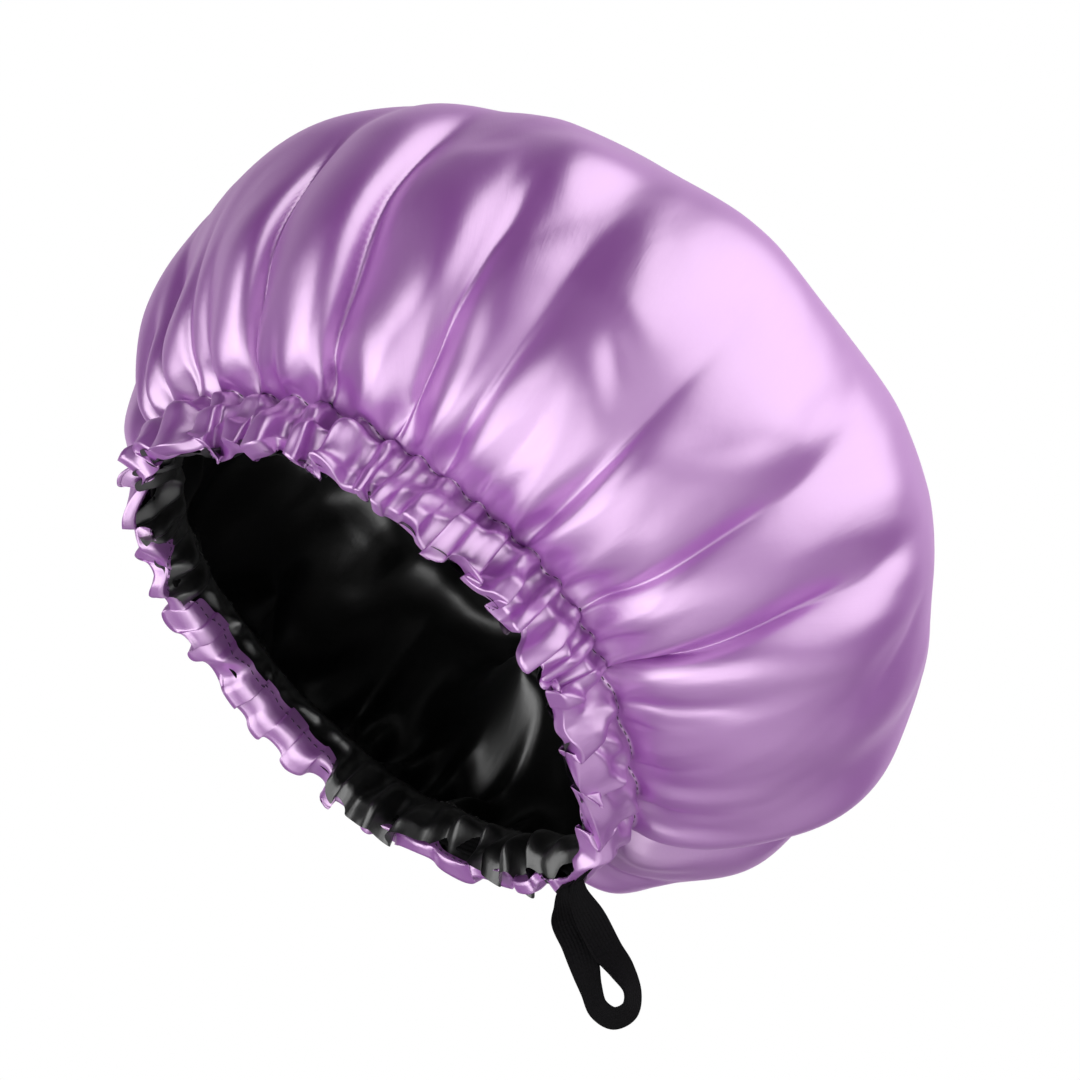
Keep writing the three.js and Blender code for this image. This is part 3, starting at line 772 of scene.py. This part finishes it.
# Arc of the outer casing's rings below the stitch row, in mm: down to the hem and up inside it.
HEM = 20.2
OUTER_CASING = -np.concatenate([
    np.arange(1, 16) * 1.2, [18.9, 19.6, HEM, 20.8, 21.5, 22.4, 23.5, 24.8, 26.2, 28]])
LINING_DROP = 18.0
LINING_CASING = -np.array([1.2, 2.8, 4.6, 6.6, 8.6, 10.6, 12.6, 14.4, 16.2, LINING_DROP])

# Points across the crown's grid while it settles and when it is done, the casing elastic's height and how far
# inside the stitch row it lies in mm, half its lap as an angle, and the tacks' bearing.
CROWN_COUNT = 129
FINE_COUNT = 257
ELASTIC_HEIGHT = 9.5
ELASTIC_INSET = 4.9
LAP_HALF = 11 / 91
TACK_BEARING = np.radians(9.5)

# In mm: the stitch row's height, how far above it the gathers fade out and their sideways loops fade out, the
# strip's bend beside the exit, and how far its lapped ends stand in and out.
ROW_HEIGHT = 20
GATHERS_FADE = 40
LOOPS_FADE = 24
STRIP_BEND = 6
LAP_STAND = 0.75

# The outer crown as it settled, which the lining hangs in.
SETTLED = {}


def refine_grid(values, count):
    """Values on a square grid at twice its density: the old ones are kept, and each new one is the four-point
    cubic (-1, 9, 9, -1) / 16 along its row, then along its column."""
    grid = values.reshape(count, count, -1)
    for axis in (0, 1):
        grid = np.moveaxis(grid, axis, 0)
        ends = np.concatenate([2 * grid[:1] - grid[1:2], grid, 2 * grid[-1:] - grid[-2:-1]])
        fine = np.empty((2 * len(grid) - 1, *grid.shape[1:]))
        fine[::2] = grid
        fine[1::2] = (9 * (ends[1:-2] + ends[2:-1]) - ends[:-3] - ends[3:]) / 16
        grid = np.moveaxis(fine, 0, axis)
    return grid.reshape(-1, grid.shape[-1])


def calm_grid(values, count, passes):
    """Values on a square grid averaged with their neighbours, (1, 2, 1) / 4 along rows and columns, in its
    inside, a few times."""
    grid = values.reshape(count, count, -1).copy()
    for _ in range(passes):
        grid[1:-1] = (grid[:-2] + 2 * grid[1:-1] + grid[2:]) / 4
        grid[:, 1:-1] = (grid[:, :-2] + 2 * grid[:, 1:-1] + grid[:, 2:]) / 4
    return grid.reshape(values.shape)


def not_below(values, low, soft=0.6):
    """Values kept above low, rounded off within about soft of it."""
    return low + soft * np.logaddexp(0, (values - low) / soft)


def plane_waves(seed, shortest, longest, count):
    """Seeded plane waves between two lengths in mm: radians per mm, direction and start of each."""
    draw = np.random.default_rng(seed)
    waves = TURN / draw.uniform(shortest, longest, count)
    lie, start = draw.uniform(0, TURN, (2, count))
    return waves, lie, start


def crumple(bearing, arc, seed):
    """Small irregular rumples, about -1 to 1: seeded plane waves, 9 to 24 mm long, over the flat cloth."""
    waves, lie, start = plane_waves(seed, 9, 24, 10)
    # Whole turns round the mouth, so that the pattern closes on itself.
    turns = np.round(waves * np.cos(lie) * GATHERED_RADIUS)
    return np.sin(bearing[:, None] * turns + arc[:, None] * waves * np.sin(lie) + start).sum(-1) / 3.5


def slack(layer):
    """Soft dents and swells of loose cloth on the crown, in mm: seeded plane waves over the flat cloth, 48 to
    130 mm long, none at the stitch row and half as deep at the top."""
    waves, lie, start = plane_waves(SLACK_SEED, 48, 130, 16)
    across, along = layer.flat_cloth().T[:, :, None]
    total = np.sin(waves * (across * np.cos(lie) + along * np.sin(lie)) + start).sum(-1) / np.sqrt(8)
    return SLACK_DEPTH * total * ease(layer.arc, 6, 50) * (1 - 0.5 * ease(layer.arc, 110, 180))


def outer_start(layer, laps):
    """The gathered outer layer before it settles, and the depth of its long creases. Above the stitch row the
    form is pressed in along the creases and waved by the gathers, which fade out. Below it the casing hangs
    in folds that grow towards the hem, lie on the elastic inside, then turn in and up. laps is the share of
    the creases' overhang."""
    bearing, arc = layer.bearing, layer.arc
    down = np.clip(-arc, 0, HEM)
    drop = down / HEM
    along, out, low = mouth_folds(bearing, drop)
    folds, lap = crease_field(bearing, arc, layer.radius)
    folds = folds * (arc > 0)
    points = (layer.form + layer.normal * (out * (1 - ease(arc, 0, GATHERS_FADE)) - folds)[:, None]
              + layer.along * (along * (1 - ease(arc, 0, LOOPS_FADE)) + laps * lap)[:, None])
    inside = np.clip(-arc - HEM, 0, None)
    turned = ease(inside, 0, 2.2)
    # Round the loop's exit the hem lies flat and is folded back on itself, so the strip comes out behind it.
    nape = at_nape(bearing)
    flat = 1 - 0.8 * nape * ease(drop, 0, 0.5)
    rumple = crumple(bearing, arc, CASING_SEED) * ease(drop, 0, 0.3)
    wall = (2.6 * np.sin(np.pi * drop) + 2.0 * nape * drop
            + (out * (1 - 0.5 * ease(drop, 0, 0.5)) + 2.4 * rumple) * flat)
    rolled = lilac_roll(bearing)
    outward = (wall * (1 - 0.65 * turned)
               - turned * (5.2 - 3.5 * nape + 3.6 * rolled * ease(inside, 0, 4) + drift(bearing, HEM_SEED)))
    height = (ROW_HEIGHT - down - low * (1 - 0.5 * turned) * (1 - nape) + 1.8 * drop * rumple * (1 - nape)
              + inside * (0.25 + 1.2 * rolled) * (1 - 0.6 * nape))
    ring = (layer.half + row_line(bearing)[:, None] + outward[:, None]) * layer.round
    below = np.concatenate([ring, height[:, None]], -1) + layer.along * (along * flat)[:, None]
    return np.where(arc[:, None] < 0, below, points), folds


def settled_casing(layer, rings):
    """The casing let settle as cloth between the stitch row and the hem's inner edge, which stay where they
    are: its rest shape is a cylinder 1.35 times as wide as the mouth, and up to 2.1 times where it is
    bunched, so the cloth that the elastic gathers has to find room in folds."""
    rows, count = rings.shape[:2]
    index = np.arange(rows * count).reshape(rows, count)
    arc = layer.arc[layer.rings]
    full = 1.35 + 0.75 * span(layer.bearing, 60, 130, 10) + 0.4 * span(layer.bearing, 130, 205, 10)
    wide = full[layer.rings] * layer.radius[layer.rings]
    rest = np.concatenate([wide[..., None] * layer.round[layer.rings], arc[..., None]], -1)
    pins = np.zeros(rows * count)
    pins[index[[0, -1]]] = 1
    settled = relax_cloth("casing settling", rings.reshape(-1, 3), rest.reshape(-1, 3), band_faces(index),
                          pins, push=0.0, weight=0.0, frames=36, bend=0.4)
    return settled.reshape(rings.shape)


def on_elastic(layer, rings):
    """The casing's rings with the valleys of their folds stopped where the elastic lies inside them."""
    half = layer.half[layer.rings[0, 0]]
    bearing = np.arctan2(rings[..., 0] / half[0], rings[..., 1] / half[1])
    facing = np.stack([np.sin(bearing), np.cos(bearing)], -1)
    out = ((rings[..., :2] - half * facing) * facing).sum(-1) - row_line(bearing)
    arc = layer.arc[layer.rings]
    outside = (arc < 0) & (arc > -HEM)
    lift = np.where(outside, not_below(out, 0.8 - ELASTIC_INSET) - out, 0)
    rings[..., :2] += facing * lift[..., None]
    return rings


class SLEEPCAP_OT_outer(bpy.types.Operator):
    """The lilac outer layer, gathered at the stitch row and settled as cloth"""
    bl_idname = "sleep_cap.outer"
    bl_label = "Outer satin"

    def execute(self, context):
        # The crown settles on a coarse grid, and the change is carried to a fine one with the sharp folds.
        coarse = ClothLayer(CROWN_COUNT, np.array([]))
        start, folds = outer_start(coarse, 0)
        rest = coarse.cut_shape(1.72, 1.012, folds)
        pins = np.zeros(len(start))
        pins[coarse.rings[0]] = 1
        settled = relax_cloth("outer settling", start, rest, coarse.faces, pins, push=1.3, weight=0.0,
                              frames=36, bend=0.1)
        settled = coarse.keep_form(settled)
        change = calm_grid(settled - start, CROWN_COUNT, 2)
        SETTLED["outer"] = start + change + coarse.normal * slack(coarse)[:, None]
        layer = ClothLayer(FINE_COUNT, OUTER_CASING)
        points = outer_start(layer, 1)[0] + layer.normal * slack(layer)[:, None]
        crown = layer.arc >= 0
        points[crown] += refine_grid(change, CROWN_COUNT)
        # Sharp creases cross the grid at a slant, so its points are calmed, away from the gathers.
        calm = calm_grid(points[crown], FINE_COUNT, 3) - points[crown]
        points[crown] += calm * ease(layer.arc[crown], 4, 24)[:, None]
        points[layer.rings] = on_elastic(layer, settled_casing(layer, points[layer.rings]))
        outer = make_mesh("outer_satin", lean(points), layer.faces,
                          shared_material("lilac polyester satin", lilac_satin), layer.flat_cloth())
        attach(outer, "cap")
        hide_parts("outer_shell")
        return {"FINISHED"}


# Folds of the slack lining: bearing in degrees and arc in mm of the middle, half sizes round and up the cap
# in mm, how far it hangs inward in mm, and its turn in degrees.
SWAGS = np.array([
    (-58, 82, 30, 30, 38, 20), (-64, 90, 8, 26, 8, 35), (-44, 70, 8, 30, 7, 20), (-92, 142, 36, 14, 10, 15),
    (-80, 134, 20, 9, 7, 10),
    (-76, 26, 5, 26, 6, 5), (-69, 30, 6, 28, 7, -6), (-61, 28, 5, 24, 7, 8), (-53, 30, 6, 30, 7, -5),
    (-44, 26, 6, 26, 6, 6), (-34, 40, 8, 34, 8, 0), (-20, 60, 12, 40, 9, 10), (5, 70, 14, 44, 9, -10),
    (30, 80, 12, 50, 9, 8), (60, 90, 14, 52, 9, -8), (95, 84, 12, 50, 8, 6), (130, 90, 16, 50, 9, -6),
    (165, 76, 12, 46, 8, 8), (-160, 84, 14, 50, 9, -6), (-128, 80, 10, 46, 4, 6), (-108, 60, 9, 40, 4, -8)],
    float)


def swags(bearing, arc, radius):
    """How far the lining's folds hang inward: each is a rounded mound, exp(-(u^2 + v^2)^1.4), that is turned
    a little."""
    middle, rise, wide, tall, deep, turn = (column[:, None] for column in SWAGS.T)
    aside = bearing_from(bearing, np.radians(middle)) * radius
    above, turn = arc - rise, np.radians(turn)
    u = (aside * np.cos(turn) + above * np.sin(turn)) / wide
    v = (above * np.cos(turn) - aside * np.sin(turn)) / tall
    return (deep * np.exp(-(u * u + v * v) ** 1.4)).sum(0) * ease(arc, 0, 14)


class SLEEPCAP_OT_lining(bpy.types.Operator):
    """The black lining, slack inside the outer layer"""
    bl_idname = "sleep_cap.lining"
    bl_label = "Lining"

    def execute(self, context):
        layer = ClothLayer(CROWN_COUNT, LINING_CASING)
        bearing = layer.bearing
        crown = layer.arc >= 0
        shell = SETTLED["outer"]
        inward = -layer.normal[crown]
        # Slack lets the lining hang off the outer layer, most near the top, in a few broad swags.
        arc = layer.arc[crown]
        uneven = 2 * drift(bearing[crown], LINING_SEED, 5) * (1 - ease(arc, 120, 230))
        hang = 1.2 + ease(arc, 0, 50) * (5 + uneven)
        start = np.empty((len(bearing), 3))
        # Near the stitch row it takes little part in the gathers and lies inside all their valleys.
        along, out, _ = mouth_folds(bearing[crown], 0)
        hang = hang + 2.4 * (1 - ease(arc, 0, 30)) + 0.7 * out * (1 - ease(arc, 0, GATHERS_FADE))
        start[crown] = (shell + inward * hang[:, None]
                        - layer.along[crown] * (along * (1 - ease(arc, 0, LOOPS_FADE)))[:, None])
        # Below the stitch row it lies inside the elastic, and ends under the rolled hem or puffs out over it.
        drop = np.clip(-layer.arc / LINING_DROP, 0, 1)
        along, out, low = mouth_folds(bearing, drop)
        rolled = lilac_roll(bearing)
        puff = spans(bearing, LINING_PUFFS)
        nape = at_nape(bearing)
        swell = (5.0 + 3.0 * puff - 0.8 * puff * out) * np.sin(np.pi * 0.55 * drop ** 0.8)
        tuck = ease(drop, 0.75, 1) * (2.6 - 1.4 * rolled + 2.4 * puff)
        outward = out * (0.3 + 0.3 * drop) * (1 - 0.7 * nape) - 3.6 * (1 - drop) - swell + tuck
        behind = np.clip((rolled - HEM_ROLLED) / 0.8, 0, 1) * ease(drop, 0.2, 0.5)
        rumple = 1 - crumple(bearing, layer.arc, LINING_CASING_SEED)
        outward = outward - 2.2 * rumple * ease(drop, 0, 0.3) * (1 - nape)
        outward = outward + behind * (0.1 * out - 6.0 - outward)
        lowest = 0.2 + 6 * rolled - 3.2 * puff + 1.2 * drift(bearing, LINING_HEM_SEED)
        lowest = lowest + nape * (6 - lowest)
        height = ROW_HEIGHT - (ROW_HEIGHT - lowest) * drop - low * (1 - nape)
        edge = (layer.half + row_line(bearing)[:, None] + outward[:, None]) * layer.round
        casing = np.concatenate([edge, height[:, None]], -1)
        casing = casing + layer.along * (along * drop * (1 - nape))[:, None]
        start[~crown] = casing[~crown]
        folds = crease_field(bearing + 0.05, layer.arc, layer.radius)[0] * crown
        rest = layer.cut_shape(1.75, 1.05, folds)
        pins = np.zeros(len(start))
        pins[layer.rings] = 1
        settled = relax_cloth("lining settling", lean(start), lean(rest), layer.faces, pins, push=0.3,
                              weight=0.3, frames=26, bend=0.12)
        settled = lean(settled, -1)
        settled[crown] = start[crown] + calm_grid(settled[crown] - start[crown], CROWN_COUNT, 4)
        gap = ((settled[crown] - shell) * inward).sum(-1)
        least = 3.4 - 1.4 * ease(arc, 10, 60)
        settled[crown] += inward * np.maximum(least - gap, 0)[:, None]
        loose = not_below(3.0 - 2.2 * slack(layer)[crown], 0.6) * ease(arc, 10, 60)
        settled[crown] += inward * (loose + swags(bearing[crown], arc, layer.radius[crown]))[:, None]
        lining = make_mesh("lining_satin", lean(settled), layer.faces[:, ::-1],
                           shared_material("black polyester satin", black_satin), layer.flat_cloth())
        fine = lining.modifiers.new("smooth cloth", "SUBSURF")
        fine.levels = fine.render_levels = 1
        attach(lining, "cap")
        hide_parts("lining")
        return {"FINISHED"}


def closed_run(points):
    """Arc length of a closed line of points, with the first point put again at its end."""
    loop = np.vstack([points, points[:1]])
    return np.concatenate([[0], np.cumsum(np.linalg.norm(np.diff(loop, axis=0), axis=1))]), loop


def along_line(run, values, places):
    """Values of a line at some arc lengths along it, by straight interpolation."""
    return np.stack([np.interp(places, run, values[:, k]) for k in range(values.shape[1])], -1)


def stitch_row(name, points, outs, pitch, length, radius, material):
    """A row of separate stitches along a line: each is a six-sided thread of five rings that follows the
    line, rises off the cloth in its middle and dips into it at its ends."""
    run, line = closed_run(points)
    outs = np.vstack([outs, outs[:1]])
    count = int(run[-1] // pitch)
    first = np.arange(count) * run[-1] / count
    rings, sides = 5, 6
    places = first[:, None] + np.linspace(0, 1, rings) * length
    centre = along_line(run, line, places.ravel()).reshape(count, rings, 3)
    out = unit(along_line(run, outs, places.ravel()).reshape(count, rings, 3))
    ahead = unit(np.gradient(centre, axis=1))
    side = unit(np.cross(ahead, out))
    out = np.cross(side, ahead)
    lift = radius * np.array([-1.6, 0.5, 0.9, 0.5, -1.6])
    thick = radius * np.array([0.7, 1, 1, 1, 0.7])
    turn = np.arange(sides) / sides * TURN
    ring = np.cos(turn)[:, None] * side[:, :, None] + np.sin(turn)[:, None] * out[:, :, None]
    body = (centre + out * lift[:, None])[:, :, None] + ring * thick[:, None, None]
    index = np.arange(rings * sides).reshape(rings, sides)
    faces = band_faces(index)[:, ::-1]
    number = (np.arange(count) * index.size)[:, None, None]
    quads = (faces[None] + number).reshape(-1, 4).tolist()
    caps = np.stack([index[0], index[-1][::-1]])
    quads += (caps[None] + number).reshape(-1, sides).tolist()
    return make_mesh(name, body.reshape(-1, 3), quads, material)


def thread_tube(path, radius, outs):
    """A six-sided thread along an open path, closed at its ends."""
    along = unit(np.gradient(path, axis=0))
    side = unit(np.cross(along, outs))
    turn = np.arange(6)[::-1] / 6 * TURN
    section = np.stack([np.cos(turn), np.sin(turn)], -1) * radius
    points, faces, _ = sweep_strip(path, along, side, section)
    return points, faces


def sewn_line(name, row):
    """Points, in mm in the shared frame, and normals of a ring of a settled layer, with its subdivision."""
    piece = bpy.data.objects[name]
    return read_points(piece)[row] / MM, read_points(piece, "normal")[row]


class SLEEPCAP_OT_threads(bpy.types.Operator):
    """The casing's stitch row on both sides, the rim seam and the two tacks beside the exit"""
    bl_idname = "sleep_cap.threads"
    bl_label = "Threads"

    def execute(self, context):
        finish = context.scene.cap_finish
        plum = shared_material("plum polyester thread", spun_thread, "plum polyester thread", finish.plum)
        black = shared_material("black polyester thread", spun_thread, "black polyester thread", finish.black)
        outer = ClothLayer(FINE_COUNT, OUTER_CASING)
        lining = ClothLayer(CROWN_COUNT, LINING_CASING)

        def facing(layer, row):
            """Straight out from the mouth at each point of a ring, in the shared frame."""
            return lean(np.column_stack([layer.round[layer.rings[row]], np.zeros(layer.rings.shape[1])]))

        rows = (
            ("needle_stitches", "casing_needle_thread", "plum_thread", plum, "outer_satin", outer.rings[0],
             facing(outer, 0), 3.2, 2.5, 0.24),
            ("bobbin_stitches", "casing_bobbin_thread", "black_thread", black, "lining_satin", lining.rings[0],
             -facing(lining, 0), 3.2, 2.5, 0.24),
            ("rim_stitches", "rim_seam_thread", "plum_thread", plum, "outer_satin", outer.rings[-2],
             -facing(outer, -2), 3.0, 2.2, 0.2))
        for name, node, slot, material, cloth, row, outs, pitch, length, radius in rows:
            points, normals = sewn_line(cloth, row)
            piece = stitch_row(name, points, unit(normals + 0.5 * outs), pitch, length, radius, material)
            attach(piece, "cap")
            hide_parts(node)
        for name, side in (("left", 1), ("right", -1)):
            column = np.argmin(np.abs(outer.bearing[outer.rings[0]] - side * TACK_BEARING))
            rows = outer.rings[11:17:2][:, column + np.array([-1, 1])]
            points, normals = sewn_line("outer_satin", rows.ravel())
            out = unit(normals.mean(0))
            path = spline(points, 5) + out * 0.2
            tube, faces = thread_tube(path, 0.2, np.broadcast_to(out, path.shape))
            tack = make_mesh("exit_tack_stitch_" + name, tube, faces, plum)
            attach(tack, "cap")
            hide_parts("exit_tack_" + name)
        return {"FINISHED"}


class SLEEPCAP_OT_elastic(bpy.types.Operator):
    """The flat elastic inside the casing, from the loop's exit round to its lapped ends at the forehead"""
    bl_idname = "sleep_cap.elastic"
    bl_label = "Casing elastic"

    def execute(self, context):
        sizes = context.scene.cap_sizes
        width = sizes.elastic_width / MM
        half = np.array([sizes.mouth_breadth, sizes.mouth_depth]) / 2 / MM - ELASTIC_INSET
        material = shared_material("knitted black elastic", black_elastic)
        for name, side, leg in (("left", 1, LOOP_ROUTE[-1]), ("right", -1, LOOP_ROUTE[0])):
            foot = lean(loop_points(leg), -1)
            # From the foot up, round a corner, and then along the casing to past the forehead.
            corner = np.linspace(0, np.pi / 2, 9)
            run = np.linspace(0, 1, 150)[1:]
            stem = np.abs(foot[0]) + 0 * corner[:2]
            sideways = np.concatenate([stem, np.abs(foot[0]) + STRIP_BEND * (1 - np.cos(corner))])
            rise = ELASTIC_HEIGHT - STRIP_BEND + STRIP_BEND * np.sin(corner)
            rise = np.concatenate([[foot[2], foot[2] + 2], rise])
            turn = np.arcsin(sideways / half[0])
            bearing = np.concatenate([turn, turn[-1] + (np.pi + LAP_HALF - turn[-1]) * run])
            rise = np.concatenate([rise, np.full(len(run), ELASTIC_HEIGHT)])
            lap = ease(bearing, np.pi - LAP_HALF - 0.18, np.pi - LAP_HALF) * (LAP_STAND * side)
            near = (foot[1] - half[1]) * (1 - ease(bearing, turn[0], turn[-1] + 0.1))
            ring = np.stack([np.sin(bearing) * side, np.cos(bearing)], -1)
            stand = row_line(bearing * side) * ease(bearing, turn[-1], turn[-1] + 0.15)
            path = np.concatenate([ring * (half + (lap + near + stand)[:, None]), rise[:, None]], -1)
            along = unit(np.gradient(path, axis=0))
            out = np.column_stack([ring, np.zeros(len(ring))])
            wide = unit(np.cross(along, out))
            points, faces, flat = sweep_strip(path, along, wide, ribbon_section(width, 1.0, 6))
            strip = make_mesh("casing_strip_" + name, lean(points), faces, material, flat)
            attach(strip, "cap")
            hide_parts("casing_elastic_" + name)
        finish = context.scene.cap_finish
        black = shared_material("black polyester thread", spun_thread, "black polyester thread", finish.black)
        # Zigzag over the lap: thirteen points to and fro across the strip's outer face.
        swing = np.arange(13)
        bearing = np.pi + LAP_HALF * 1.3 * (swing / 12 - 0.5)
        ring = np.stack([np.sin(bearing), np.cos(bearing)], -1)
        ring = ring * (half + LAP_STAND + 0.8 + row_line(bearing)[:, None])
        rise = ELASTIC_HEIGHT + 3.2 * np.where(swing % 2, 1, -1)
        path = spline(np.column_stack([ring, rise]), 3)
        out = unit(path * (1, 1, 0))
        points, faces = thread_tube(path, 0.25, out)
        zigzag = make_mesh("lap_zigzag", lean(points), faces, black)
        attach(zigzag, "cap")
        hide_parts("elastic_lap_thread")
        return {"FINISHED"}


class SLEEPCAP_PT_panel(bpy.types.Panel):
    """Sleep cap's settings and pieces"""
    bl_idname = "SLEEPCAP_PT_panel"
    bl_label = "Sleep cap"
    bl_space_type = "VIEW_3D"
    bl_region_type = "UI"
    bl_category = "Sleep cap"

    def draw(self, context):
        for group in (context.scene.cap_sizes, context.scene.cap_finish):
            box = self.layout.box()
            for name in group.__annotations__:
                box.prop(group, name)
        for operator in OPERATORS:
            self.layout.operator(operator.bl_idname)


OPERATORS = (SLEEPCAP_OT_stage, SLEEPCAP_OT_loop, SLEEPCAP_OT_outer, SLEEPCAP_OT_lining, SLEEPCAP_OT_threads,
             SLEEPCAP_OT_elastic)
CLASSES = (CapSizes, CapFinish, *OPERATORS, SLEEPCAP_PT_panel)


def register():
    for kind in CLASSES:
        bpy.utils.register_class(kind)
    bpy.types.Scene.cap_sizes = bpy.props.PointerProperty(type=CapSizes)
    bpy.types.Scene.cap_finish = bpy.props.PointerProperty(type=CapFinish)


def unregister():
    del bpy.types.Scene.cap_finish
    del bpy.types.Scene.cap_sizes
    for kind in reversed(CLASSES):
        bpy.utils.unregister_class(kind)


def main():
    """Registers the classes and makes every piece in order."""
    register()
    bpy.ops.sleep_cap.stage()
    bpy.ops.sleep_cap.loop()
    bpy.ops.sleep_cap.outer()
    bpy.ops.sleep_cap.lining()
    bpy.ops.sleep_cap.threads()
    bpy.ops.sleep_cap.elastic()


if __name__ == "__main__":
    main()
